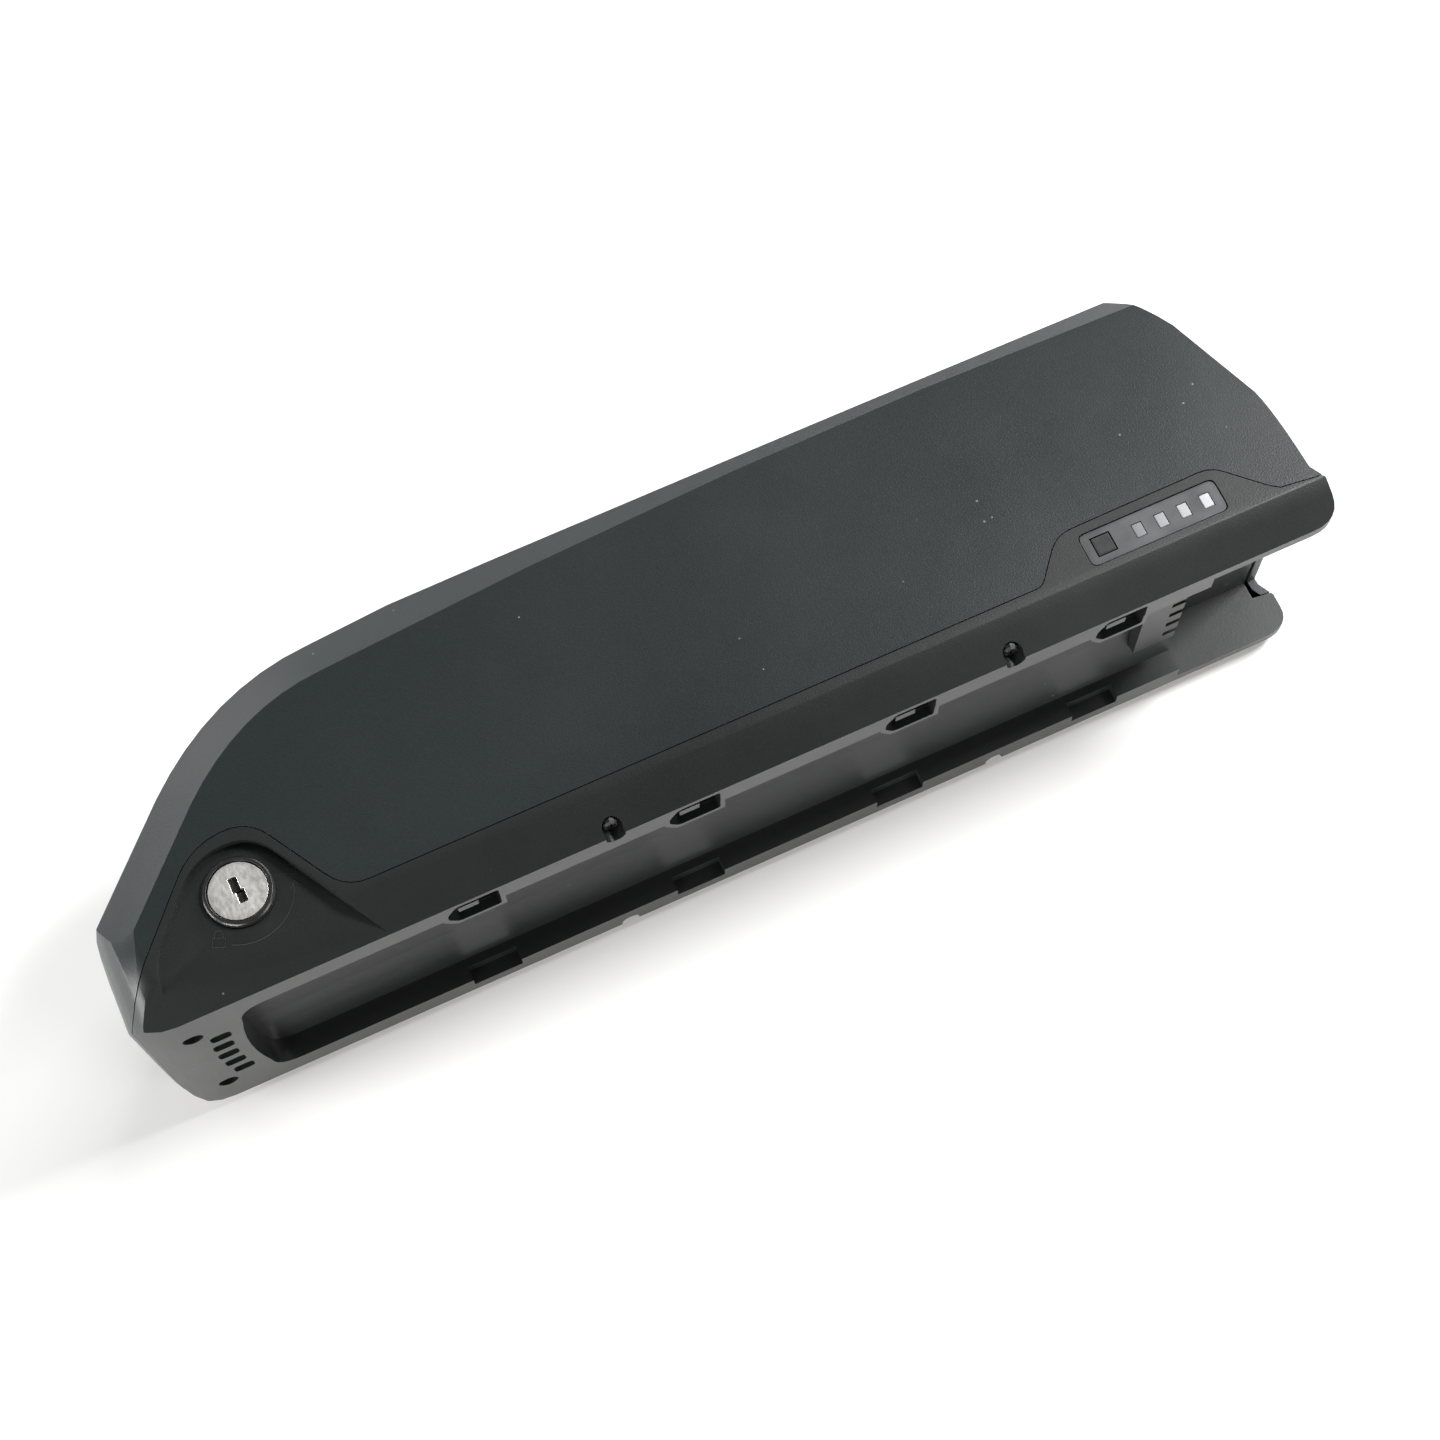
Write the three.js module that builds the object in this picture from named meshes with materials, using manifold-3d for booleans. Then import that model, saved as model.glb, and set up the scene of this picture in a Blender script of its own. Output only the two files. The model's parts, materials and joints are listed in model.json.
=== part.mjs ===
// Rail-mounted battery pack for an electric bicycle, as an assembly of separate pieces.
// Millimetres. X runs along the pack, the open rail channel faces -Y, the spine faces +Y,
// and Z goes through the thickness: the pack lies on its far side face with the lock on top.
import * as THREE from "three";
import { mergeVertices } from "three/addons/utils/BufferGeometryUtils.js";
import Module from "manifold-3d";

// ---- driving dimensions ----------------------------------------------------------------
const LEFT = -184.5; // nose end of the case
const RIGHT = 181.5; // open bay end of the case
const HALF_WIDTH = 45.5; // side face to mid plane
const CROWN = 94; // top of the spine above the rail lips
const SPINE_EDGE = 90; // height where the spine meets the side chamfer
const WALL = 2.6; // case wall
const GAP = 0.3; // running gap between separate pieces
const LIP_OUT = 40; // outer edge of the rail lips
const LIP_IN = 30.9; // inner edge of the rail lips, the channel's half width
const BAND_TOP = 11.5; // height where the tray's slanted band meets the side face
const SEAM = 15; // height of the straight parting line
const CHAMFER = 12.5; // case chamfer measured in the side view
const CHAMFER_DEPTH = 8.5; // the same chamfer measured through the thickness
const RAIL_TOP = 14.2; // top of the tray floor inside the case

const CHANNEL_WALL = 7; // straight part of the channel's side wall
const CHANNEL_CROWN = 12.1; // channel depth at the mid plane
const CHANNEL_LEFT = -154; // nose end of the channel
const BAY_LEFT = 141.5; // where the channel opens into the connector bay
const BAY_TOP = 18.6; // depth of the connector bay
const BAY_HALF = 36.3; // half width of the connector bay

// Vent slots across the nose; length and width are half sizes.
const VENT = { x: -162, arc: 0.3, pitch: 8.4, length: 3, width: 2.5 };

const HOOK_PITCH = 65.6; // rail hook spacing
const HOOK_FIRST = -91.8; // left tip of the first hook pocket
const HOOK_LENGTH = 15.3;
const HOOK_DEPTH = 3.2; // floor of a hook pocket
const SLOT_DEPTH = 4.4; // its deeper slot, where the hook ends up
const HOOK_COUNT = 4;

const LOCK = { x: -140, y: 27 }; // lock axis, along Z
const LOCK_FLOOR = 42.3; // height of the lock pocket's floor at the lock axis
const LOCK_TILT = 0.06; // the floor falls this much, in radians, towards the bay end
const FACE_R = 8.2; // bright lock face
const BEZEL_R = 9.85;
const CAM_R = 6; // throw of the lock cam, and travel of the bolt
const BOLT_Z = 2; // bolt axis

const WINDOW = { x0: 109.6, x1: 152.6, y0: 14.1, y1: 24.7 }; // charge indicator window
const BUTTON = { x: 115.6, y: 19.5, size: 5.6 };
const LED = { x0: 126.6, pitch: 7.1, y: 19.3, width: 3, height: 4.2 };

const CELL_R = 9.2;
const CELL_LENGTH = 65;
const CELL_PITCH = 19.6;
const ROW_PITCH = 16.8;
const CELL_X0 = -114;
const CELL_Y0 = 24.4;
const CELL_ROWS = 4;
const GROUPS = 13;
const CELL_SIDES = 10;

const SCREW_R = 2.6; // screw head
const COUNTERBORE_R = 2.95;
const SEAT = 5.2; // height of the screw seats above the lips
const SCREWS = [
  [-167.2, 24.4],
  [-167.2, -24.4],
  [-41.8, 39.2],
  [-41.8, -39.2],
  [79.1, 39.2],
  [79.1, -39.2],
];

const RAMP = { x: 170.6, y: 59.6, angle: 0.374 }; // middle and slope of the end ramp

// ---- solids ----------------------------------------------------------------------------
const wasm = await Module();
wasm.setup();

// A closed three.js geometry as a manifold-3d solid.
function solid(geometry) {
  const bare = geometry.index ? geometry.toNonIndexed() : geometry.clone();
  bare.deleteAttribute("normal");
  bare.deleteAttribute("uv");
  const merged = mergeVertices(bare, 1e-4);
  return new wasm.Manifold(
    new wasm.Mesh({
      numProp: 3,
      vertProperties: merged.attributes.position.array,
      triVerts: new Uint32Array(merged.index.array),
    }),
  );
}

function geometryOf(made) {
  const mesh = made.getMesh();
  const geometry = new THREE.BufferGeometry();
  geometry.setAttribute("position", new THREE.BufferAttribute(mesh.vertProperties, 3));
  geometry.setIndex(new THREE.BufferAttribute(mesh.triVerts, 1));
  const flat = geometry.toNonIndexed();
  flat.computeVertexNormals();
  return flat;
}

const points = (list) => list.map(([a, b]) => new THREE.Vector2(a, b));
const unite = (solids) => solids.reduce((all, one) => all.add(one));

// A closed outline moved inwards by a distance, corner by corner.
function inset(outline, distance) {
  const turn = Math.sign(THREE.ShapeUtils.area(outline));
  const count = outline.length;
  return outline.map((corner, i) => {
    const before = corner.clone().sub(outline[(i + count - 1) % count]).normalize();
    const after = outline[(i + 1) % count].clone().sub(corner).normalize();
    const along = before.clone().add(after).normalize();
    const stretch = 1 / Math.max(0.35, along.dot(after));
    return new THREE.Vector2(-along.y, along.x)
      .multiplyScalar(turn * distance * stretch)
      .add(corner);
  });
}

// A closed outline from corners [x, y, rounding]; a corner without rounding stays sharp.
function filleted(corners, steps = 5) {
  const at = corners.map(([x, y]) => new THREE.Vector2(x, y));
  const count = at.length;
  return corners.flatMap(([, , rounding], i) => {
    if (!rounding) return [at[i]];
    const [before, after] = [at[(i + count - 1) % count], at[(i + 1) % count]].map((p) =>
      p.clone().sub(at[i]).setLength(rounding).add(at[i]),
    );
    return new THREE.QuadraticBezierCurve(before, at[i], after).getPoints(steps);
  });
}

function extrude(outline, depth, options = {}) {
  return new THREE.ExtrudeGeometry(new THREE.Shape(outline), {
    depth,
    bevelEnabled: false,
    curveSegments: 6,
    ...options,
  });
}

// Outlines in the side view, the cross-section and the plan, extruded along Z, X and Y.
const alongZ = (outline, z0, z1) => solid(extrude(outline, z1 - z0).translate(0, 0, z0));

function alongX(outline, x0, x1) {
  const mirrored = outline.map((p) => new THREE.Vector2(-p.x, p.y));
  return solid(extrude(mirrored, x1 - x0).rotateY(Math.PI / 2).translate(x0, 0, 0));
}

const alongY = (outline, y0, y1) =>
  solid(extrude(outline, y1 - y0).rotateX(Math.PI / 2).translate(0, y1, 0));

function box(x0, x1, y0, y1, z0, z1) {
  const geometry = new THREE.BoxGeometry(x1 - x0, y1 - y0, z1 - z0);
  return solid(geometry.translate((x0 + x1) / 2, (y0 + y1) / 2, (z0 + z1) / 2));
}

// Cylinders with their axis along Z or Y.
function rodZ(x, y, radius, z0, z1, sides = 24) {
  const geometry = new THREE.CylinderGeometry(radius, radius, z1 - z0, sides);
  return solid(geometry.rotateX(Math.PI / 2).translate(x, y, (z0 + z1) / 2));
}

function rodY(x, z, radius, y0, y1, sides = 16) {
  const geometry = new THREE.CylinderGeometry(radius, radius, y1 - y0, sides);
  return solid(geometry.translate(x, (y0 + y1) / 2, z));
}

// ---- case outlines ---------------------------------------------------------------------
// Side view of the flat side face: the chamfer starts at this line.
function faceOutline() {
  const path = new THREE.Path();
  path.moveTo(-179, -30).lineTo(-179, 12).lineTo(-174.5, 22.3).lineTo(-143, 54.6);
  path.quadraticCurveTo(-122, 75, -97, 76.3);
  path.quadraticCurveTo(35, 87.5, 150, 83.4).lineTo(230, 82).lineTo(230, -30);
  return path.getPoints(8);
}

// Side view of the whole case, without the chamfer.
function caseOutline() {
  const path = new THREE.Path();
  path.moveTo(-168, 0).quadraticCurveTo(-182, 0, LEFT, 16).lineTo(LEFT, 22);
  path.quadraticCurveTo(LEFT, 31, -176.6, 38.6).lineTo(-112, CROWN + 10);
  path.lineTo(144, CROWN + 10).lineTo(146, CROWN);
  path.quadraticCurveTo(158, 87, 165.6, 72.5).lineTo(176.5, 43.5);
  path.quadraticCurveTo(178.4, 36, 178.9, SEAM + 1.4).lineTo(RIGHT, BAND_TOP);
  path.lineTo(RIGHT, 7).quadraticCurveTo(RIGHT, 0, RIGHT - 9, 0);
  return path.getPoints(6);
}

// Plan of the case: the nose is rounded.
function planOutline() {
  const path = new THREE.Path();
  path.moveTo(RIGHT + 10, -60).lineTo(-169, -60).lineTo(-169, -HALF_WIDTH);
  path.quadraticCurveTo(-179.5, -44, -182, -26).quadraticCurveTo(LEFT - 2.5, 0, -182, 26);
  path.quadraticCurveTo(-179.5, 44, -169, HALF_WIDTH).lineTo(-169, 60);
  path.lineTo(RIGHT + 10, 60);
  return path.getPoints(5);
}

// Cross-section of the case: slanted bands at the lips, flat sides, crowned spine.
function sectionOutline() {
  const path = new THREE.Path();
  path.moveTo(-LIP_OUT, 0).lineTo(-HALF_WIDTH, BAND_TOP).lineTo(-HALF_WIDTH, SPINE_EDGE - 2);
  path.quadraticCurveTo(-30, CROWN + 0.6, 0, CROWN);
  path.quadraticCurveTo(30, CROWN + 0.6, HALF_WIDTH, SPINE_EDGE - 2);
  path.lineTo(HALF_WIDTH, BAND_TOP).lineTo(LIP_OUT, 0);
  return path.getPoints(5);
}

// The case as a full solid, or with every wall moved inwards.
function caseBody(wall) {
  const half = HALF_WIDTH - wall;
  const flats = half - CHAMFER_DEPTH;
  const chamfered = extrude(inset(faceOutline(), wall), 2 * flats, {
    bevelEnabled: true,
    bevelThickness: CHAMFER_DEPTH,
    bevelSize: CHAMFER,
    bevelSegments: 1,
  }).translate(0, 0, -flats);
  return solid(chamfered)
    .intersect(alongZ(inset(caseOutline(), wall), -60, 60))
    .intersect(alongX(inset(sectionOutline(), wall), LEFT - 20, RIGHT + 20))
    .intersect(alongY(inset(planOutline(), wall), -20, CROWN + 20));
}

// ---- parting line ----------------------------------------------------------------------
const seamStart = [
  [-215, -30],
  [-215, -6],
  [-179.5, 5.5, 4],
];
const farStart = [[-172.5, SEAM - 0.4, 4]];
const seamEnd = [
  [168.5, SEAM - 1],
  [178, SEAM - 2.2],
  [215, SEAM - 6],
  [215, -30],
];

// On the near side the tray rises round the lock and under the charge indicator.
const lockRise = [
  [-170.4, 17.2],
  [-147.6, 43.2, 8.6],
  [-130.8, 44.6, 8],
  [-113.4, SEAM, 7],
];
const indicatorRise = [
  [94.2, SEAM, 2],
  [104.6, 27.4, 5],
  [153.6, 27.8, 4],
  [166, 15.6, 2],
];
const farSeam = filleted([...seamStart, ...farStart, ...seamEnd]);
const nearSeam = filleted([...seamStart, ...lockRise, ...indicatorRise, ...seamEnd]);

// What lies below the parting line, moved outwards by a margin.
function belowSeam(margin, backOfLock, backOfIndicator) {
  const near = inset(nearSeam, -margin);
  const straight = alongZ(inset(farSeam, -margin), -60, 60);
  const lockSide = box(-215, 0, -40, 100, backOfLock, 60);
  const indicatorSide = box(0, 215, -40, 100, backOfIndicator, 60);
  const rises = alongZ(near, -60, 60).intersect(lockSide.add(indicatorSide));
  return straight.add(rises);
}

// The groove for the seal, or the seal itself, which follows the parting line.
function sealRing(outer, inner, half) {
  const shell = caseBody(outer).subtract(caseBody(inner));
  const farBand = alongZ(inset(farSeam, -half), -60, 0);
  const farInner = alongZ(inset(farSeam, half), -61, 0.5);
  const nearBand = alongZ(inset(nearSeam, -half), 0, 60);
  const nearInner = alongZ(inset(nearSeam, half), -0.5, 61);
  const bands = farBand.subtract(farInner).add(nearBand.subtract(nearInner));
  return shell.intersect(bands).subtract(bayMouth());
}

// The seal stops on each side of the open bay.
const bayMouth = () => box(BAY_LEFT, RIGHT + 20, -10, 40, -BAY_HALF - 3, BAY_HALF + 3);

const PLATE_BACK = 38.4; // back of the tray's wall behind the lock
const INDICATOR_BACK = HALF_WIDTH - 3.1; // back of the wall behind the indicator
const body = caseBody(0);
const cavity = caseBody(WALL);
const sealGroove = sealRing(0.6, 2.2, 1.1);

const hookStarts = Array.from({ length: HOOK_COUNT }, (_, k) => HOOK_FIRST + k * HOOK_PITCH);

// ---- lower tray ------------------------------------------------------------------------
function channel() {
  const section = new THREE.Path();
  section.moveTo(-LIP_IN, -5).lineTo(-LIP_IN, CHANNEL_WALL);
  section.quadraticCurveTo(0, 2 * CHANNEL_CROWN - CHANNEL_WALL, LIP_IN, CHANNEL_WALL);
  section.lineTo(LIP_IN, -5);
  const plan = new THREE.Path();
  const [corner, start] = [CHANNEL_LEFT + 0.6, CHANNEL_LEFT + 9];
  plan.moveTo(BAY_LEFT + 1, -50).lineTo(start, -50).lineTo(start, -LIP_IN);
  plan.quadraticCurveTo(corner, -LIP_IN, corner, -22);
  plan.quadraticCurveTo(CHANNEL_LEFT - 3.4, 0, corner, 22);
  plan.quadraticCurveTo(corner, LIP_IN, start, LIP_IN);
  plan.lineTo(start, 50).lineTo(BAY_LEFT + 1, 50);
  return alongX(section.getPoints(8), LEFT, BAY_LEFT + 1).intersect(
    alongY(plan.getPoints(6), -10, 20),
  );
}

const bay = box(BAY_LEFT, RIGHT + 20, -10, BAY_TOP, -BAY_HALF, BAY_HALF);

// The bay's ceiling stands inside the upper housing.
function bayRiser() {
  const side = BAY_HALF + 1.9;
  const riser = box(BAY_LEFT - WALL, RIGHT - 6.5, 3, BAY_TOP + WALL, -side, side);
  return riser.intersect(caseBody(WALL + 0.5).add(box(0, RIGHT - 6.5, 3, SEAM, -side, side)));
}

// Hollows that keep the rails from being solid blocks.
function railCores() {
  const spans = [
    [-126, -96],
    [-72, -48],
    [-6, 36],
    [58.5, 73],
    [86, 101],
  ];
  const top = RAIL_TOP + 1;
  return unite(
    spans.flatMap(([a, b]) => [
      box(a, b, WALL, top, 33.6, 38),
      box(a, b, WALL, top, -38, -33.6),
    ]),
  );
}

function noseCore() {
  const core = box(-178, -157.8, WALL, RAIL_TOP + 1, -30, 30).intersect(caseBody(WALL));
  const posts = SCREWS.slice(0, 2).map(([x, z]) => rodY(x, z, 5, 0, RAIL_TOP));
  return core.subtract(unite(posts));
}

function ventSlots() {
  const slots = [-2, -1, 0, 1, 2].map((k) => {
    const x = VENT.x + VENT.arc * k * k;
    const z = VENT.pitch * k;
    const { length, width } = VENT;
    const slot = filleted([
      [x - length, z - width, 1.4],
      [x + length, z - width, 1.4],
      [x + length, z + width, 1.4],
      [x - length, z + width, 1.4],
    ], 2);
    return alongY(slot, -2, WALL + 1);
  });
  return unite(slots);
}

function hookPocket(x) {
  const end = x + HOOK_LENGTH;
  const outline = filleted([
    [x, 33.6, 1],
    [x + 2.8, 38.2, 1],
    [end, 38.2, 1],
    [end, 25.6, 1],
    [x + 2.8, 25.6, 1],
    [x, 29.6, 1],
  ], 2);
  const slot = box(x + 9.7, end - 0.3, -3, SLOT_DEPTH, 26.1, 37.6);
  return alongY(outline, -3, HOOK_DEPTH).add(slot);
}

function hookBoss(x) {
  return alongY(
    points([
      [x - 1.4, 32],
      [x - 1.4, 28.8],
      [x + 2, 24],
      [x + HOOK_LENGTH + 1.4, 24],
      [x + HOOK_LENGTH + 1.4, 32],
    ]),
    0.3,
    CHANNEL_CROWN + 1,
  );
}

// A guide rib that stands in the pocket, with a low bridge beside it.
function hookTongue(x) {
  return box(x + 3.4, x + 9.3, 0.8, HOOK_DEPTH + 1, 31.4, 34.4)
    .add(box(x + 6.4, x + 9.3, 1.4, HOOK_DEPTH + 1, 34, 39));
}

const farNotch = (x) => box(x, x + HOOK_LENGTH, -3, SLOT_DEPTH, -35.2, -29);

// The pocket round the lock, with a floor that falls slowly towards the bay end.
function lockPocket() {
  const outline = filleted([
    [-168, 12, 2],
    [-166, 19, 4],
    [-148.2, 40, 8.4],
    [-131.6, 40.6, 8],
    [-119.6, 20.6],
    [-106, -2],
    [-106, -20],
    [-168, -20],
  ], 6);
  const shifted = outline.map((p) => p.clone().sub(new THREE.Vector2(LOCK.x, 0)));
  const cutter = extrude(shifted, 20).rotateY(LOCK_TILT);
  return solid(cutter.translate(LOCK.x, 0, LOCK_FLOOR));
}

function screwHoles() {
  const bores = SCREWS.flatMap(([x, z]) => [
    rodY(x, z, COUNTERBORE_R, -3, SEAT),
    rodY(x, z, 1.9, -3, SEAM + 6, 10),
  ]);
  const mouths = SCREWS.slice(2).map(([x, z]) =>
    rodZ(x, SEAT - COUNTERBORE_R, COUNTERBORE_R, Math.min(z, 2 * z), Math.max(z, 2 * z), 20),
  );
  return unite([...bores, ...mouths]);
}

const WINDOW_ROUNDING = 2; // corner radius of the indicator window

function windowOutline(margin) {
  const { x0, x1, y0, y1 } = WINDOW;
  return filleted([
    [x0 + margin, y0 + margin, WINDOW_ROUNDING],
    [x1 - margin, y0 + margin, WINDOW_ROUNDING],
    [x1 - margin, y1 - margin, WINDOW_ROUNDING],
    [x0 + margin, y1 - margin, WINDOW_ROUNDING],
  ], 3);
}

function indicatorSeat() {
  const { x0, x1, y0, y1 } = WINDOW;
  const recess = alongZ(windowOutline(0), HALF_WIDTH - 1.4, 60);
  const through = box(x0 + 1.4, x1 - 1.4, y0 + 1.2, y1 - 1.2, INDICATOR_BACK - 1, 60);
  return recess.add(through);
}

const SOCKET = { x0: 127.6, x1: BAY_LEFT - 0.1, y0: CHANNEL_WALL, y1: 13.4, half: 19.5 };

function lowerTray() {
  const lockHole = rodZ(LOCK.x, LOCK.y, FACE_R + 0.4 + GAP, 30, 60);
  const lockSeat = rodZ(LOCK.x, LOCK.y, BEZEL_R + GAP, LOCK_FLOOR - 0.6, 60);
  const boltHole = rodY(LOCK.x, BOLT_Z, 5.4, -5, 30);
  const upper = cavity.intersect(box(LEFT, RIGHT, RAIL_TOP, 100, -60, 60));
  const hollow = upper.subtract(belowRises());
  const socketSeat = box(
    SOCKET.x0 - GAP,
    BAY_LEFT + 0.2,
    -5,
    SOCKET.y1 + GAP,
    -SOCKET.half - GAP,
    SOCKET.half + GAP,
  );
  return body
    .intersect(belowSeam(-0.15, PLATE_BACK, INDICATOR_BACK))
    .subtract(hollow)
    .add(bayRiser())
    .subtract(channel())
    .subtract(bay)
    .add(unite(hookStarts.map(hookBoss)))
    .subtract(unite(hookStarts.flatMap((x) => [hookPocket(x), farNotch(x)])))
    .add(unite(hookStarts.map(hookTongue)))
    .subtract(railCores())
    .subtract(noseCore())
    .subtract(ventSlots())
    .subtract(lockPocket())
    .subtract(lockHole)
    .subtract(lockSeat)
    .subtract(boltHole)
    .subtract(screwHoles())
    .subtract(indicatorSeat())
    .subtract(socketSeat)
    .subtract(sealGroove);
}

// The tray's own walls that rise above its floor on the near side.
function belowRises() {
  const lockWall = box(-178, -104, RAIL_TOP - 1, 60, PLATE_BACK, 60);
  const indicatorWall = box(90, 172, RAIL_TOP - 1, 60, INDICATOR_BACK, 60);
  return lockWall.add(indicatorWall);
}

// ---- upper housing ---------------------------------------------------------------------
// A frame whose X points out of the end ramp.
function onRamp(made) {
  const frame = new THREE.Matrix4().makeRotationZ(RAMP.angle).setPosition(RAMP.x, RAMP.y, 0);
  return solid(geometryOf(made).applyMatrix4(frame));
}

function rodOut(radius, x0, x1, sides = 24) {
  const geometry = new THREE.CylinderGeometry(radius, radius, x1 - x0, sides);
  return solid(geometry.rotateZ(Math.PI / 2).translate((x0 + x1) / 2, 0, 0));
}

const FLAP = { half: 10.6, halfZ: 11.6, thick: 1.8, pocket: 2.2 };
const PORT_R = 7.2;

function screwBosses() {
  const sides = SCREWS.slice(2).map(([x, z]) => rodY(x, z, 4.2, SEAM + 0.4, 30));
  const nose = SCREWS.slice(0, 2).map(([x, z]) => rodY(x, z, 3.6, SEAM + 0.4, 60));
  return unite([...sides, ...nose]);
}

function upperHousing() {
  const pad = onRamp(box(-5.6, -1, -14, 14, -15, 15));
  const pocket = onRamp(
    box(-FLAP.pocket, 9, -FLAP.half - GAP, FLAP.half + GAP, -FLAP.halfZ - GAP, FLAP.halfZ + GAP),
  );
  const portHole = onRamp(rodOut(PORT_R + GAP, -9, 2));
  const bores = SCREWS.map(([x, z]) => rodY(x, z, 1.6, SEAM - 3, 28, 10));
  return body
    .subtract(cavity)
    .add(screwBosses().add(pad).intersect(body))
    .subtract(belowSeam(0.15, PLATE_BACK - GAP, INDICATOR_BACK - GAP))
    .subtract(pocket)
    .subtract(portHole)
    .subtract(unite(bores))
    .subtract(bay)
    .subtract(sealGroove);
}

// ---- lock ------------------------------------------------------------------------------
function ringZ(outer, inner, z0, z1, sides = 32) {
  const profile = points([
    [inner, z0],
    [outer, z0],
    [outer, z1 - 0.5],
    [outer - 0.5, z1],
    [inner, z1],
    [inner, z0],
  ]);
  const geometry = new THREE.LatheGeometry(profile, sides).rotateX(Math.PI / 2);
  return solid(geometry).translate([LOCK.x, LOCK.y, 0]);
}

function lockBezel() {
  return ringZ(BEZEL_R, FACE_R + 0.3, LOCK_FLOOR - 0.3, LOCK_FLOOR + 2.3);
}

function lockBarrel() {
  const tube = rodZ(LOCK.x, LOCK.y, FACE_R + 0.2, 21, LOCK_FLOOR - 0.6);
  return tube.subtract(rodZ(LOCK.x, LOCK.y, 5.8, 10, 60));
}

function lockPlug() {
  const face = LOCK_FLOOR + 1.9;
  const head = rodZ(LOCK.x, LOCK.y, FACE_R, LOCK_FLOOR - 0.2, face, 32);
  const core = rodZ(LOCK.x, LOCK.y, 5.5, 19, LOCK_FLOOR);
  const upper = box(LOCK.x - 1.5, LOCK.x + 0.9, LOCK.y - 0.3, LOCK.y + 4.2, face - 10, 60);
  const lower = box(LOCK.x - 0.7, LOCK.x + 1.7, LOCK.y - 3.6, LOCK.y + 0.3, face - 10, 60);
  return head.add(core).subtract(upper.add(lower));
}

function lockNut() {
  const blank = rodZ(LOCK.x, LOCK.y, 11.5, 34.4, PLATE_BACK - GAP, 6);
  return blank.subtract(rodZ(LOCK.x, LOCK.y, FACE_R + 0.5, 30, 60));
}

// The cam's pin stands off the lock axis and drives the bolt's slot.
function lockCam() {
  const disc = rodZ(LOCK.x, LOCK.y, 7.8, 15.6, 18.7);
  const pin = rodZ(LOCK.x - CAM_R, LOCK.y, 1.5, 6, 16, 12);
  return disc.add(pin);
}

function lockBolt() {
  const shank = rodY(LOCK.x, BOLT_Z, 5, 14.6, 22);
  const head = box(LOCK.x - 9.4, LOCK.x + 9, 20.4, 33, BOLT_Z - 5, 12);
  const slot = box(
    LOCK.x - CAM_R - 2,
    LOCK.x + 2,
    LOCK.y - 3.4,
    LOCK.y + 2,
    4,
    20,
  );
  return head.subtract(slot).add(shank);
}

// ---- charge indicator ------------------------------------------------------------------
const LENS_Z = HALF_WIDTH - 1.1;
const BOARD_Z = 38.6;
const BOARD_TOP = BOARD_Z + 1.2;
const PRESS = 0.6; // button travel

function ledBox(k, margin, z0, z1) {
  const x = LED.x0 + k * LED.pitch;
  const [halfX, halfY] = [LED.width / 2 + margin, LED.height / 2 + margin];
  return box(x - halfX, x + halfX, LED.y - halfY, LED.y + halfY, z0, z1);
}

function indicatorWindow() {
  const lens = alongZ(windowOutline(GAP), LENS_Z, LENS_Z + 0.8);
  const reach = BUTTON.size / 2 + GAP;
  const hole = box(
    BUTTON.x - reach,
    BUTTON.x + reach,
    BUTTON.y - reach,
    BUTTON.y + reach,
    30,
    60,
  );
  const lights = [0, 1, 2, 3].map((k) => ledBox(k, 0.15, 30, 60));
  return lens.subtract(unite([hole, ...lights]));
}

function powerButton() {
  const half = BUTTON.size / 2;
  const outline = points([
    [-half, -half],
    [half, -half],
    [half, half],
    [-half, half],
  ]);
  const cap = extrude(inset(outline, 0.4), 1.9, {
    bevelEnabled: true,
    bevelThickness: 0.4,
    bevelSize: 0.4,
    bevelSegments: 1,
  });
  return solid(cap.translate(BUTTON.x, BUTTON.y, HALF_WIDTH - 2.4));
}

const indicatorLed = (k) => ledBox(k, 0, BOARD_TOP + GAP, LENS_Z + 0.7);

function buttonSwitch() {
  const { x, y } = BUTTON;
  const base = box(x - 2.6, x + 2.6, y - 2.6, y + 2.6, BOARD_TOP + GAP, 41.2);
  return base.add(rodZ(x, y, 1.2, 41, HALF_WIDTH - 2.8 - PRESS - 0.2, 12));
}

const indicatorBoard = () => box(108.6, 153.6, 14.6, 24.4, BOARD_Z, BOARD_TOP);

// ---- cells -----------------------------------------------------------------------------
const cellX = (group, row) => CELL_X0 + group * CELL_PITCH + (row % 2) * (CELL_PITCH / 2);
const cellY = (row) => CELL_Y0 + row * ROW_PITCH;
const rows = Array.from({ length: CELL_ROWS }, (_, row) => row);

// One parallel group: four cells welded to a nickel strip at each end.
function cellGroup(group) {
  const half = CELL_LENGTH / 2;
  const cans = rows.map((row) =>
    rodZ(cellX(group, row), cellY(row), CELL_R, -half, half, CELL_SIDES),
  );
  const left = rows.map((row) => [cellX(group, row) - 4, cellY(row)]);
  const right = rows.map((row) => [cellX(group, row) + 4, cellY(row)]).reverse();
  const strip = points([...left, ...right]);
  return unite([
    ...cans,
    alongZ(strip, half - 0.2, half + GAP),
    alongZ(strip, -half - GAP, -half + 0.2),
  ]);
}

const blockOutline = points([
  [-124.2, 14.5],
  [131.4, 14.5],
  [131.4, 29],
  [141.2, 35],
  [141.2, 84.8],
  [-107, 84.8],
  [-115, 78],
  [-124.2, 68.4],
]);

function cellHolder(z0, z1) {
  const holes = [];
  for (let group = 0; group < GROUPS; group += 1) {
    for (const row of rows) {
      const radius = CELL_R + GAP;
      holes.push(rodZ(cellX(group, row), cellY(row), radius, -50, 50, CELL_SIDES));
    }
  }
  return alongZ(blockOutline, z0, z1).subtract(unite(holes));
}

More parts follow.
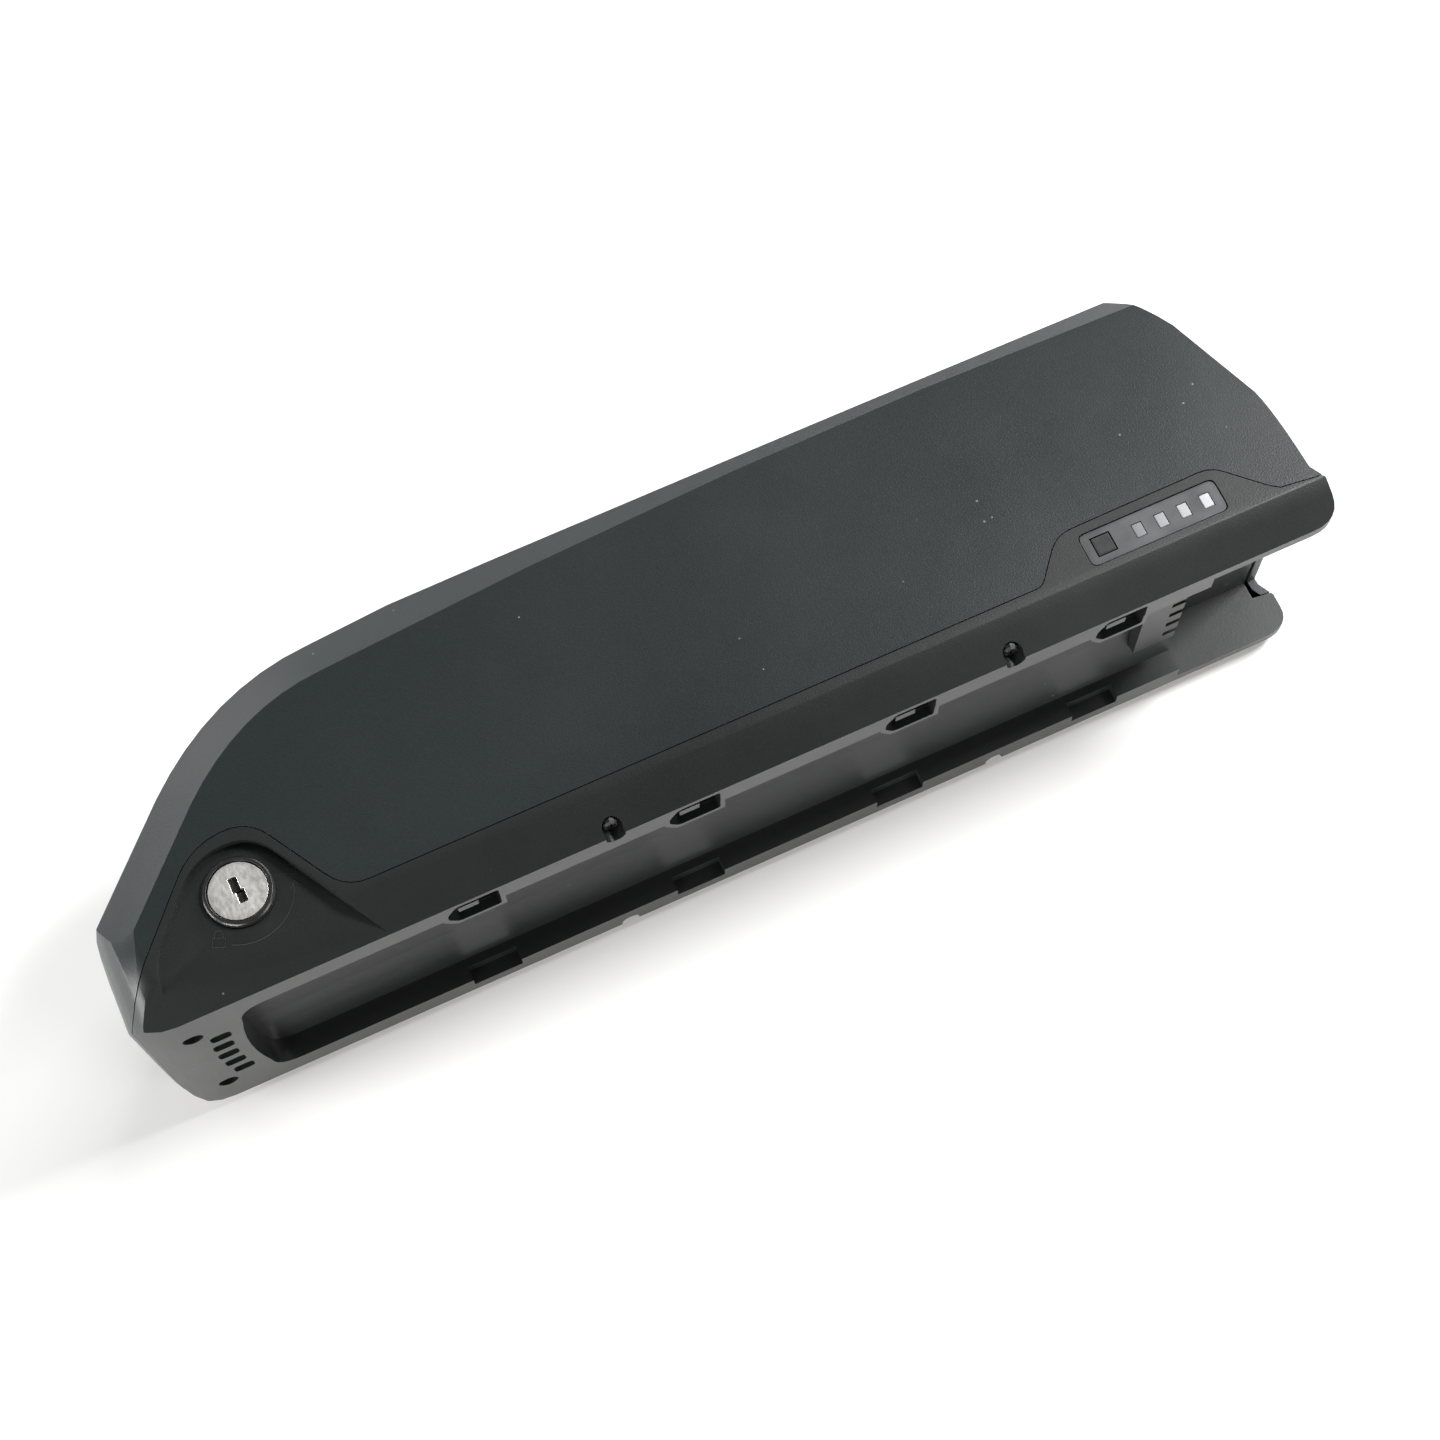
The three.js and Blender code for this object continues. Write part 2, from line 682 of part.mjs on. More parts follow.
// ---- electrics -------------------------------------------------------------------------
function tube(route, radius) {
  const curve = new THREE.CatmullRomCurve3(route.map((p) => new THREE.Vector3(...p)));
  const section = new THREE.Shape().absarc(0, 0, radius, 0, 2 * Math.PI);
  const geometry = new THREE.ExtrudeGeometry(section, {
    extrudePath: curve,
    steps: 16,
    curveSegments: 4,
    bevelEnabled: false,
  });
  return solid(geometry);
}

const bmsBoard = () => box(150, 151.6, 25, 74, -29, 29);

function bmsHeatSink() {
  const plate = box(151.9, 153.4, 29, 70, -27, 27);
  const fins = [-24, -12, 0, 12, 24].map((z) => box(153.2, 156, 29, 70, z - 1, z + 1));
  return plate.add(unite(fins));
}

function fuse() {
  const block = box(-145, -126, 46, 58, -6, 6);
  return block.add(box(-143, -139, 42, 47, -3, 3)).add(box(-132, -128, 42, 47, -3, 3));
}

const SLOT_STEP = 7;
const contactSlots = [-2, -1, 0, 1, 2].map((k) => k * SLOT_STEP);

function dischargeSocket() {
  const { x0, x1, y0, y1, half } = SOCKET;
  const block = box(x0, x1, y0, y1, -half, half);
  const slots = contactSlots.map((z) =>
    box(x1 - 4.6, x1 + 2, y0 - 2, y1 - 1.4, z - 1.3, z + 1.3),
  );
  return block.subtract(unite(slots));
}

function dischargeContact(z) {
  const { x1, y0, y1 } = SOCKET;
  return box(x1 - 3.8, x1 - 1.7, y0 + 1.4, y1 - 1.7, z - 0.4, z + 0.4);
}

function chargeSocket() {
  const tubeBody = rodOut(PORT_R, -11.5, -2.4);
  const flange = rodOut(PORT_R + 2.4, -9, -6);
  return onRamp(tubeBody.add(flange).subtract(rodOut(4.2, -9.5, 0)));
}

const chargePin = () => onRamp(rodOut(1.1, -9.2, -4.4, 12));

function chargeCap() {
  const top = FLAP.thick - FLAP.pocket + 0.2;
  const door = box(-FLAP.pocket + 0.2, top, -FLAP.half, FLAP.half, -FLAP.halfZ, FLAP.halfZ);
  const tab = box(-0.6, top + 0.6, -FLAP.half, -FLAP.half + 2, -4, 4);
  return onRamp(door.add(tab).add(rodOut(2.8, -3.8, -1.5, 16)));
}

// ---- fasteners -------------------------------------------------------------------------
function housingScrew(x, z) {
  const profile = points([
    [0, SEAT - 1.9],
    [1.9, SEAT - 1.9],
    [SCREW_R, SEAT - 1.3],
    [SCREW_R, SEAT - GAP],
    [1.25, SEAT - GAP],
    [1.25, 25],
    [0, 26.5],
  ]);
  const turned = solid(new THREE.LatheGeometry(profile, 12)).translate([x, 0, z]);
  const slot = box(x - 1.4, x + 1.4, SEAT - 3, SEAT - 1.3, z - 0.35, z + 0.35);
  const cross = box(x - 0.35, x + 0.35, SEAT - 3, SEAT - 1.3, z - 1.4, z + 1.4);
  return turned.subtract(slot.add(cross));
}

// ---- assembly --------------------------------------------------------------------------
const finishes = {
  housing: { color: 0x2b3132, roughness: 0.55, metalness: 0 },
  trim: { color: 0x151616, roughness: 0.45, metalness: 0 },
  steel: { color: 0xbdb8b1, roughness: 0.3, metalness: 1 },
  zinc: { color: 0x8d8f90, roughness: 0.4, metalness: 1 },
  lens: { color: 0x3c3e40, roughness: 0.3, metalness: 0 },
  led: { color: 0xd9dde2, roughness: 0.5, metalness: 0 },
  board: { color: 0x1f5a35, roughness: 0.6, metalness: 0 },
  cell: { color: 0x4f7fae, roughness: 0.45, metalness: 0 },
  holder: { color: 0x24272a, roughness: 0.7, metalness: 0 },
  rubber: { color: 0x1a1a1a, roughness: 0.9, metalness: 0 },
  paper: { color: 0x9db7a5, roughness: 0.9, metalness: 0 },
  aluminium: { color: 0xb9bdc2, roughness: 0.4, metalness: 1 },
  copper: { color: 0xc08a4a, roughness: 0.35, metalness: 1 },
  redLead: { color: 0x9c1f1c, roughness: 0.6, metalness: 0 },
};

const pack = new THREE.Group();
pack.position.set(-(LEFT + RIGHT) / 2, -CROWN / 2, HALF_WIDTH);

function put(name, finish, made) {
  const mesh = new THREE.Mesh(geometryOf(made), new THREE.MeshStandardMaterial(finishes[finish]));
  mesh.name = name;
  pack.add(mesh);
}

put("upper_housing", "housing", upperHousing());
put("lower_tray", "housing", lowerTray());
put("seam_seal", "rubber", sealRing(0.9, 1.9, 0.7));

put("lock_bezel", "trim", lockBezel());
put("lock_barrel", "zinc", lockBarrel());
put("lock_plug", "steel", lockPlug());
put("lock_nut", "zinc", lockNut());
put("lock_cam", "zinc", lockCam());
put("lock_bolt", "steel", lockBolt());

put("indicator_window", "lens", indicatorWindow());
put("indicator_board", "board", indicatorBoard());
for (let k = 0; k < 4; k += 1) put(`indicator_led_${k + 1}`, "led", indicatorLed(k));
put("power_button", "rubber", powerButton());
put("button_switch", "trim", buttonSwitch());

put("discharge_socket", "trim", dischargeSocket());
contactSlots.forEach((z, k) => put(`discharge_contact_${k + 1}`, "copper", dischargeContact(z)));
put("charge_socket", "trim", chargeSocket());
put("charge_pin", "copper", chargePin());
put("charge_port_cap", "rubber", chargeCap());

for (let group = 0; group < GROUPS; group += 1) {
  const number = String(group + 1).padStart(2, "0");
  put(`cell_group_${number}`, "cell", cellGroup(group));
}
put("cell_holder_near", "holder", cellHolder(24, 32));
put("cell_holder_far", "holder", cellHolder(-32, -24));
put("insulation_near", "paper", alongZ(blockOutline, 33.2, 33.8));
put("insulation_far", "paper", alongZ(blockOutline, -33.8, -33.2));
put("foam_pad_near", "rubber", box(-98, 90, 34, 68, 34.1, 42.4));
put("foam_pad_far", "rubber", box(-98, 128, 34, 68, -42.4, -34.1));
put("vent_membrane", "paper", box(-166, -158.4, WALL + GAP, WALL + 0.8, -18.8, 18.8));

put("bms_board", "board", bmsBoard());
put("bms_heat_sink", "aluminium", bmsHeatSink());
put("fuse", "trim", fuse());
put("positive_lead", "redLead", tube(
  [
    [-126.4, 50, 21],
    [-131, 56, 16],
    [-136, 61.5, 9],
    [-138, 62, 0],
  ],
  1.6,
));
put("negative_lead", "rubber", tube(
  [
    [148.4, 36, 12],
    [144, 28.4, 12],
    [137.2, 25, 10],
    [135, 15.8, 7],
  ],
  1.4,
));

SCREWS.forEach(([x, z], k) => put(`housing_screw_${k + 1}`, "zinc", housingScrew(x, z)));

export default pack;
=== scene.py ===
import json
import math

import bmesh
import bpy
from mathutils import Matrix, Vector


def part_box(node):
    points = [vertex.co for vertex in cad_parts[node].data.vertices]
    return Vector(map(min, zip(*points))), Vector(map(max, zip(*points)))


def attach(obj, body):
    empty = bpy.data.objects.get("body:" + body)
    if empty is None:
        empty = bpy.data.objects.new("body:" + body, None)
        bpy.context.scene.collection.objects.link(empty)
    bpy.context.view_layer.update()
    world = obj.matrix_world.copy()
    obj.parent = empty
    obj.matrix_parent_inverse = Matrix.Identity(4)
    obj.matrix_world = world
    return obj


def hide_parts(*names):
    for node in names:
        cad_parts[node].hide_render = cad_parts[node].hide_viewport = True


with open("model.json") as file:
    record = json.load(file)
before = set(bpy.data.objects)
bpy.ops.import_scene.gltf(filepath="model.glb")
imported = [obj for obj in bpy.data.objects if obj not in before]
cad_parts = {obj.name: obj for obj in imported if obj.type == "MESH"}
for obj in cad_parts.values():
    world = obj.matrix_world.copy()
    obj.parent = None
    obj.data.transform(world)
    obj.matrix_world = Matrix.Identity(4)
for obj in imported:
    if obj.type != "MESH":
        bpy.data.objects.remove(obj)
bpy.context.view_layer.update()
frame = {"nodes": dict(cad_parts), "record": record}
MM = 0.001

CASE_PLASTIC = (0.0085, 0.0120, 0.0125)
# The tray's colour is the case plastic darkened and warmed: painted shade and painted warm bounce light
# of the tilted band.
TRAY_PLASTIC_WITH_PAINTED_SHADE = (0.0078, 0.0090, 0.0086)
DUST = (0.30, 0.32, 0.32)
LIGHT_COUNT = 4
LIGHT_ROUNDING = 0.15 * MM


# ---- small helpers for finishes --------------------------------------------------------
class Finish:
    """A node material with a Principled surface, built a layer at a time."""

    def __init__(self, name, roughness=0.5, metallic=0.0, **fixed):
        self.material = bpy.data.materials.new(name)
        self.material.use_nodes = True
        self.nodes = self.material.node_tree.nodes
        self.links = self.material.node_tree.links
        self.nodes.clear()
        self.surface = self.nodes.new("ShaderNodeBsdfPrincipled")
        out = self.nodes.new("ShaderNodeOutputMaterial")
        self.links.new(self.surface.outputs[0], out.inputs[0])
        self.surface.inputs["Roughness"].default_value = roughness
        self.surface.inputs["Metallic"].default_value = metallic
        for socket, value in fixed.items():
            self.surface.inputs[socket.replace("_", " ")].default_value = value
        self.place = self.nodes.new("ShaderNodeTexCoord").outputs["Object"]

    def spot(self, stretch=(1, 1, 1), turn=(0, 0, 0)):
        mapping = self.nodes.new("ShaderNodeMapping")
        mapping.inputs["Scale"].default_value = stretch
        mapping.inputs["Rotation"].default_value = turn
        self.links.new(self.place, mapping.inputs["Vector"])
        return mapping.outputs["Vector"]

    def noise(self, scale, detail=4.0, rough=0.5, where=None):
        noise = self.nodes.new("ShaderNodeTexNoise")
        noise.inputs["Scale"].default_value = scale
        noise.inputs["Detail"].default_value = detail
        noise.inputs["Roughness"].default_value = rough
        self.links.new(where or self.place, noise.inputs["Vector"])
        return noise.outputs["Fac"]

    def along_x(self):
        parts = self.nodes.new("ShaderNodeSeparateXYZ")
        self.links.new(self.place, parts.inputs[0])
        return parts.outputs["X"]

    def cells(self, scale, where=None):
        cells = self.nodes.new("ShaderNodeTexVoronoi")
        cells.inputs["Scale"].default_value = scale
        self.links.new(where or self.place, cells.inputs["Vector"])
        return cells.outputs["Distance"]

    def remap(self, value, low, high, to_low=0.0, to_high=1.0):
        remap = self.nodes.new("ShaderNodeMapRange")
        for socket, number in zip(("From Min", "From Max", "To Min", "To Max"),
                                  (low, high, to_low, to_high)):
            remap.inputs[socket].default_value = number
        self.links.new(value, remap.inputs["Value"])
        return remap.outputs["Result"]

    def times(self, a, b):
        node = self.nodes.new("ShaderNodeMath")
        node.operation = "MULTIPLY"
        for socket, value in zip(node.inputs, (a, b)):
            if isinstance(value, float):
                socket.default_value = value
            else:
                self.links.new(value, socket)
        return node.outputs[0]

    def mix(self, factor, a, b):
        node = self.nodes.new("ShaderNodeMix")
        node.data_type = "RGBA"
        colours = [s for s in node.inputs if s.type == "RGBA"]
        self.links.new(factor, node.inputs["Factor"])
        for socket, value in zip(colours, (a, b)):
            if isinstance(value, tuple):
                socket.default_value = (*value, 1)
            else:
                self.links.new(value, socket)
        return [s for s in node.outputs if s.type == "RGBA"][0]

    def colour(self, value):
        if isinstance(value, tuple):
            self.surface.inputs["Base Color"].default_value = (*value, 1)
        else:
            self.links.new(value, self.surface.inputs["Base Color"])
        return self

    def rough(self, value):
        self.links.new(value, self.surface.inputs["Roughness"])
        return self

    def relief(self, *layers):
        """Each layer is (height, depth in metres)."""
        normal = None
        for height, depth in layers:
            bump = self.nodes.new("ShaderNodeBump")
            bump.inputs["Distance"].default_value = depth
            bump.inputs["Strength"].default_value = 1.0
            self.links.new(height, bump.inputs["Height"])
            if normal:
                self.links.new(normal, bump.inputs["Normal"])
            normal = bump.outputs["Normal"]
        self.links.new(normal, self.surface.inputs["Normal"])
        return self


def shade(colour, factor):
    return tuple(c * factor for c in colour)


def grained_plastic(name, base, roughness, grain=0.00005, dust=0.55):
    """Moulded plastic with a spark-eroded grain, faint cloudiness and a little dust."""
    finish = Finish(name, roughness=roughness, IOR=1.5)
    cloud = finish.remap(finish.noise(14, 5), 0.3, 0.7)
    tone = finish.mix(cloud, shade(base, 0.86), shade(base, 1.16))
    fleck = finish.remap(finish.noise(2600, 2), 0.45, 0.72)
    tone = finish.mix(finish.times(fleck, 0.35), tone, shade(base, 2.1))
    specks = finish.remap(finish.cells(230), 0.085, 0.055)
    rare = finish.remap(finish.noise(60, 2), 0.62, 0.66)
    tone = finish.mix(finish.times(finish.times(specks, rare), dust), tone, DUST)
    finish.colour(tone)
    haze = finish.remap(finish.noise(9, 6, 0.6), 0.3, 0.7, roughness - 0.05, roughness + 0.07)
    finish.rough(haze)
    return finish.relief(
        (finish.noise(1900, 3, 0.6), grain),
        (finish.noise(60, 3), 0.00006),
    ).material


def smooth_plastic(name, base, roughness=0.35):
    finish = Finish(name, roughness=roughness, IOR=1.5)
    finish.colour(finish.mix(finish.remap(finish.noise(120, 5), 0.3, 0.7),
                             shade(base, 0.85), shade(base, 1.2)))
    finish.rough(finish.remap(finish.noise(90, 6), 0.3, 0.7, roughness - 0.06, roughness + 0.08))
    return finish.relief((finish.noise(900, 3), 0.00002)).material


def soft_rubber(name, base):
    finish = Finish(name, roughness=0.8)
    finish.colour(finish.mix(finish.remap(finish.noise(300, 4), 0.35, 0.65),
                             shade(base, 0.8), shade(base, 1.35)))
    finish.rough(finish.remap(finish.noise(160, 4), 0.3, 0.7, 0.68, 0.86))
    return finish.relief((finish.noise(2400, 2), 0.00004)).material


def plated_metal(name, base, roughness, grain=(1, 1, 1), depth=0.00001):
    finish = Finish(name, roughness=roughness, metallic=1.0)
    streaks = finish.noise(900, 4, 0.6, finish.spot(grain))
    finish.colour(finish.mix(finish.remap(finish.noise(70, 5), 0.3, 0.7),
                             shade(base, 0.88), base))
    finish.rough(finish.remap(streaks, 0.3, 0.7, roughness - 0.07, roughness + 0.1))
    return finish.relief((streaks, depth)).material


def circuit_board(name):
    finish = Finish(name, roughness=0.45)
    tracks = finish.remap(finish.cells(420, finish.spot((1, 0.25, 1))), 0.3, 0.34)
    finish.colour(finish.mix(tracks, (0.10, 0.075, 0.02), (0.012, 0.09, 0.035)))
    return finish.relief((tracks, 0.00003)).material


def cell_sleeve(name):
    finish = Finish(name, roughness=0.38)
    cloud = finish.remap(finish.noise(45, 4), 0.3, 0.7)
    finish.colour(finish.mix(cloud, (0.055, 0.16, 0.34), (0.085, 0.22, 0.42)))
    return finish.relief((finish.noise(240, 4), 0.00005)).material


def pressed_paper(name):
    finish = Finish(name, roughness=0.85)
    fibres = finish.noise(700, 6, 0.7, finish.spot((1, 0.2, 1)))
    finish.colour(finish.mix(fibres, (0.22, 0.33, 0.26), (0.36, 0.46, 0.38)))
    return finish.relief((fibres, 0.00006)).material


def milky_light(name):
    """Milky light guides with a painted sheen: dimmest beside the button and brightest at the far end."""
    finish = Finish(name, roughness=0.35, IOR=1.45)
    low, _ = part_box("indicator_led_1")
    _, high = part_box(f"indicator_led_{LIGHT_COUNT}")
    # Painted sheen: the guides' colour ramps from dim to bright along x towards the far end.
    along = finish.remap(finish.along_x(), low[0], high[0])
    cloud = finish.remap(finish.noise(500, 3), 0.3, 0.7, 0.85, 1.0)
    finish.colour(finish.mix(finish.times(along, cloud), (0.17, 0.175, 0.19), (0.50, 0.51, 0.53)))
    return finish.relief((finish.noise(1200, 2), 0.00002)).material


case_finish = grained_plastic("case_plastic", CASE_PLASTIC, 0.36)
# The tray finish carries the painted shade and painted warm bounce light in the tray's darker, warmer
# colour.
tray_finish = grained_plastic("tray_plastic", TRAY_PLASTIC_WITH_PAINTED_SHADE, 0.38, grain=0.00004, dust=0.35)
black_trim = smooth_plastic("black_trim", (0.012, 0.012, 0.012), 0.32)
window_panel = smooth_plastic("window_panel", (0.075, 0.078, 0.082), 0.30)
button_rubber = soft_rubber("button_rubber", (0.016, 0.016, 0.017))
black_rubber = soft_rubber("black_rubber", (0.016, 0.016, 0.016))
red_insulation = soft_rubber("red_insulation", (0.30, 0.02, 0.018))
lock_face = plated_metal("lock_face", (0.80, 0.775, 0.74), 0.46, (1, 0.5, 1))
zinc = plated_metal("zinc", (0.42, 0.43, 0.44), 0.42)
screw_zinc = plated_metal("screw_zinc", (0.06, 0.06, 0.06), 0.5)
brass = plated_metal("brass", (0.62, 0.43, 0.19), 0.32)
aluminium = plated_metal("aluminium", (0.60, 0.61, 0.63), 0.42, (1, 1, 0.1))
board_finish = circuit_board("board")
sleeve = cell_sleeve("cell_sleeve")
paper = pressed_paper("insulation_paper")
holder_plastic = smooth_plastic("holder_plastic", (0.02, 0.022, 0.024), 0.6)
light_window = milky_light("light_window")

FINISHES = {
    "upper_housing": case_finish,
    "lower_tray": tray_finish,
    "seam_seal": black_rubber,
    "lock_bezel": black_trim,
    "lock_plug": lock_face,
    "lock_barrel": zinc,
    "lock_nut": zinc,
    "lock_cam": zinc,
    "lock_bolt": lock_face,
    "indicator_window": window_panel,
    "indicator_board": board_finish,
    "indicator_led": light_window,
    "power_button": button_rubber,
    "button_switch": black_trim,
    "discharge_socket": tray_finish,
    "discharge_contact": brass,
    "charge_socket": black_trim,
    "charge_pin": brass,
    "charge_port_cap": black_rubber,
    "cell_group": sleeve,
    "cell_holder": holder_plastic,
    "insulation": paper,
    "foam_pad": black_rubber,
    "vent_membrane": paper,
    "bms_board": board_finish,
    "bms_heat_sink": aluminium,
    "fuse": black_trim,
    "positive_lead": red_insulation,
    "negative_lead": black_rubber,
    "housing_screw": screw_zinc,
}


def finish_for(name):
    return next(FINISHES[key] for key in FINISHES if name.startswith(key))


def dress(obj, material):
    obj.data.materials.clear()
    obj.data.materials.append(material)


body_of_node = {
    node: body
    for body, nodes in frame["record"]["behaviour"]["bodies"].items()
    for node in nodes
}
for name, node in frame["nodes"].items():
    dress(node, finish_for(name))


# ---- moulded pieces with softened edges ------------------------------------------------
def soften(node_name, radius, segments=2, angle=32.0):
    """The node's own shape as one clean shell, with small radii on its edges."""
    mesh = frame["nodes"][node_name].data.copy()
    shell = bmesh.new()
    shell.from_mesh(mesh)
    bmesh.ops.remove_doubles(shell, verts=shell.verts, dist=0.00002)
    bmesh.ops.dissolve_limit(shell, angle_limit=math.radians(0.6), verts=shell.verts,
                             edges=shell.edges)
    bmesh.ops.dissolve_degenerate(shell, dist=0.00002, edges=shell.edges)
    for face in shell.faces:
        face.smooth = True
    shell.to_mesh(mesh)
    shell.free()
    piece = bpy.data.objects.new(node_name + "_moulded", mesh)
    bpy.context.scene.collection.objects.link(piece)
    dress(piece, finish_for(node_name))
    bevel = piece.modifiers.new("edges", "BEVEL")
    bevel.width = radius
    bevel.segments = segments
    bevel.limit_method = "ANGLE"
    bevel.angle_limit = math.radians(angle)
    bevel.harden_normals = False
    bevel.miter_outer = "MITER_ARC"
    weights = piece.modifiers.new("flats", "WEIGHTED_NORMAL")
    weights.keep_sharp = True
    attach(piece, body_of_node[node_name])
    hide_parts(node_name)
    return piece


soften("upper_housing", 0.45 * MM)
soften("lower_tray", 0.30 * MM)
for part in ("lock_bezel", "lock_plug", "power_button"):
    soften(part, 0.15 * MM)


# ---- small details ---------------------------------------------------------------------
def rows_of_blocks(name, count, first, step, size, radius, body, material):
    """A row of small rounded blocks made by one node tree, as one plain mesh."""
    tree = bpy.data.node_groups.new(name + "_row", "GeometryNodeTree")
    face = tree.interface
    face.new_socket("Geometry", in_out="OUTPUT", socket_type="NodeSocketGeometry")
    inputs = {
        "Count": ("NodeSocketInt", count),
        "First": ("NodeSocketVector", first),
        "Step": ("NodeSocketVector", step),
        "Size": ("NodeSocketVector", size),
    }
    keys = {
        label: face.new_socket(label, in_out="INPUT", socket_type=kind).identifier
        for label, (kind, _) in inputs.items()
    }
    nodes, links = tree.nodes, tree.links
    given = nodes.new("NodeGroupInput")
    out = nodes.new("NodeGroupOutput")
    line = nodes.new("GeometryNodeMeshLine")
    links.new(given.outputs["Count"], line.inputs["Count"])
    links.new(given.outputs["First"], line.inputs["Start Location"])
    links.new(given.outputs["Step"], line.inputs["Offset"])
    block = nodes.new("GeometryNodeMeshCube")
    links.new(given.outputs["Size"], block.inputs["Size"])
    spread = nodes.new("GeometryNodeInstanceOnPoints")
    links.new(line.outputs[0], spread.inputs["Points"])
    links.new(block.outputs["Mesh"], spread.inputs["Instance"])
    real = nodes.new("GeometryNodeRealizeInstances")
    links.new(spread.outputs[0], real.inputs[0])
    coat = nodes.new("GeometryNodeSetMaterial")
    coat.inputs["Material"].default_value = material
    links.new(real.outputs[0], coat.inputs["Geometry"])
    links.new(coat.outputs[0], out.inputs[0])
    holder = bpy.data.objects.new(name + "_holder", bpy.data.meshes.new(name + "_empty"))
    bpy.context.scene.collection.objects.link(holder)
    row = holder.modifiers.new("row", "NODES")
    row.node_group = tree
    for label, (_, value) in inputs.items():
        row[keys[label]] = value
    rounding = holder.modifiers.new("rounding", "BEVEL")
    rounding.width, rounding.segments = radius, 2
    seen = holder.evaluated_get(bpy.context.evaluated_depsgraph_get())
    piece = bpy.data.objects.new(name, bpy.data.meshes.new_from_object(seen))
    bpy.data.objects.remove(holder)
    bpy.context.scene.collection.objects.link(piece)
    for polygon in piece.data.polygons:
        polygon.use_smooth = False
    dress(piece, material)
    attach(piece, body)
    return piece


def ribbon(name, outlines, low, high, body, material):
    """Thin strips along paths. Each outline is its (x, y) points, its width, and whether it is closed."""
    mesh = bpy.data.meshes.new(name)
    shape = bmesh.new()
    for path, width, shut in outlines:
        count = len(path)
        rings = []
        for i, (x, y) in enumerate(path):
            ax, ay = path[(i - 1) % count] if shut or i else path[0]
            bx, by = path[(i + 1) % count] if shut or i < count - 1 else path[-1]
            along = Vector((bx - ax, by - ay)).normalized()
            side = Vector((-along.y, along.x)) * width / 2
            bottom, top = low(x, y), high(x, y)
            rings.append([
                shape.verts.new((x + side.x, y + side.y, bottom)),
                shape.verts.new((x + side.x, y + side.y, top)),
                shape.verts.new((x - side.x, y - side.y, top)),
                shape.verts.new((x - side.x, y - side.y, bottom)),
            ])
        last = count if shut else count - 1
        for i in range(last):
            a, b = rings[i], rings[(i + 1) % count]
            for k in range(4):
                shape.faces.new((a[k], b[k], b[(k + 1) % 4], a[(k + 1) % 4]))
        if not shut:
            shape.faces.new(rings[0][::-1])
            shape.faces.new(rings[-1])
    bmesh.ops.recalc_face_normals(shape, faces=shape.faces)
    shape.to_mesh(mesh)
    shape.free()
    piece = bpy.data.objects.new(name, mesh)
    bpy.context.scene.collection.objects.link(piece)
    dress(piece, material)
    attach(piece, body)
    return piece


def arc(cx, cy, radius, start, end, steps=20):
    return [
        (cx + radius * math.cos(math.radians(start + (end - start) * i / steps)),
         cy + radius * math.sin(math.radians(start + (end - start) * i / steps)))
        for i in range(steps + 1)
    ]


def placed(points, cx, cy, turn):
    c, s = math.cos(math.radians(turn)), math.sin(math.radians(turn))
    return [(cx + c * x - s * y, cy + s * x + c * y) for x, y in points]


plug_low, plug_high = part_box("lock_plug")
lock_x = (plug_low[0] + plug_high[0]) / 2
lock_y = (plug_low[1] + plug_high[1]) / 2
LOCK_TILT = 0.06  # fall of the pocket floor per length towards the bay
MARK_RADIUS = 14.6 * MM
MARK_LINE = 0.25 * MM
PADLOCK_LINE = 0.22 * MM
# Width of the painted shade strips that darken the keyway.
KEYWAY_SHADE_WIDTH = 2.3 * MM
floor_at_lock = plug_high[2] - 1.9 * MM


def lock_floor(x, _):
    return floor_at_lock - LOCK_TILT * (x - lock_x)


def in_metres(path):
    return [(x * MM, y * MM) for x, y in path]


def padlock(cx, cy, turn, is_open):
    body = [(-1.7, -1.4), (1.7, -1.4), (1.7, 1.2), (-1.7, 1.2)]
    shackle = [(-1.1, 1.2)] + arc(0, 2.2, 1.1, 180, 0, 8) + ([] if is_open else [(1.1, 1.2)])
    return [
        (placed(in_metres(body), cx, cy, turn), PADLOCK_LINE, True),
        (placed(in_metres(shackle), cx, cy, turn), PADLOCK_LINE, False),
    ]


def lock_marks():
    sweep = arc(lock_x, lock_y, MARK_RADIUS, -118, -12, 24)
    first, last = arc(lock_x, lock_y, MARK_RADIUS, -132, 4, 1)
    head = [
        (sweep[-1][0] - 1.3 * MM, sweep[-1][1] - 1.5 * MM),
        (sweep[-1][0] + 0.2 * MM, sweep[-1][1] + 0.5 * MM),
        (sweep[-1][0] + 1.5 * MM, sweep[-1][1] - 1.6 * MM),
    ]
    lines = [(sweep, MARK_LINE, False), (head, MARK_LINE, False)]
    lines += padlock(*first, -20, False) + padlock(*last, -20, True)
    ribbon("lock_marks", lines,
           lambda x, y: lock_floor(x, y) - 0.15 * MM, lambda x, y: lock_floor(x, y) + 0.10 * MM,
           "case", mark_finish)


def power_symbol():
    low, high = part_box("power_button")
    cx, cy, top = (low[0] + high[0]) / 2, (low[1] + high[1]) / 2, high[2]
    ring = arc(cx, cy, 1.25 * MM, 125, 415, 24)
    stem = [(cx, cy + 0.3 * MM), (cx, cy + 1.8 * MM)]
    edge = 2.0 * MM
    frame_line = [(cx - edge, cy - edge), (cx + edge, cy - edge), (cx + edge, cy + edge),
                  (cx - edge, cy + edge)]
    ribbon("power_symbol", [(ring, 0.28 * MM, False), (stem, 0.28 * MM, False),
                            (frame_line, 0.2 * MM, True)],
           lambda x, y: top - 0.2 * MM, lambda x, y: top - 0.001 * MM,
           "button", symbol_grey)


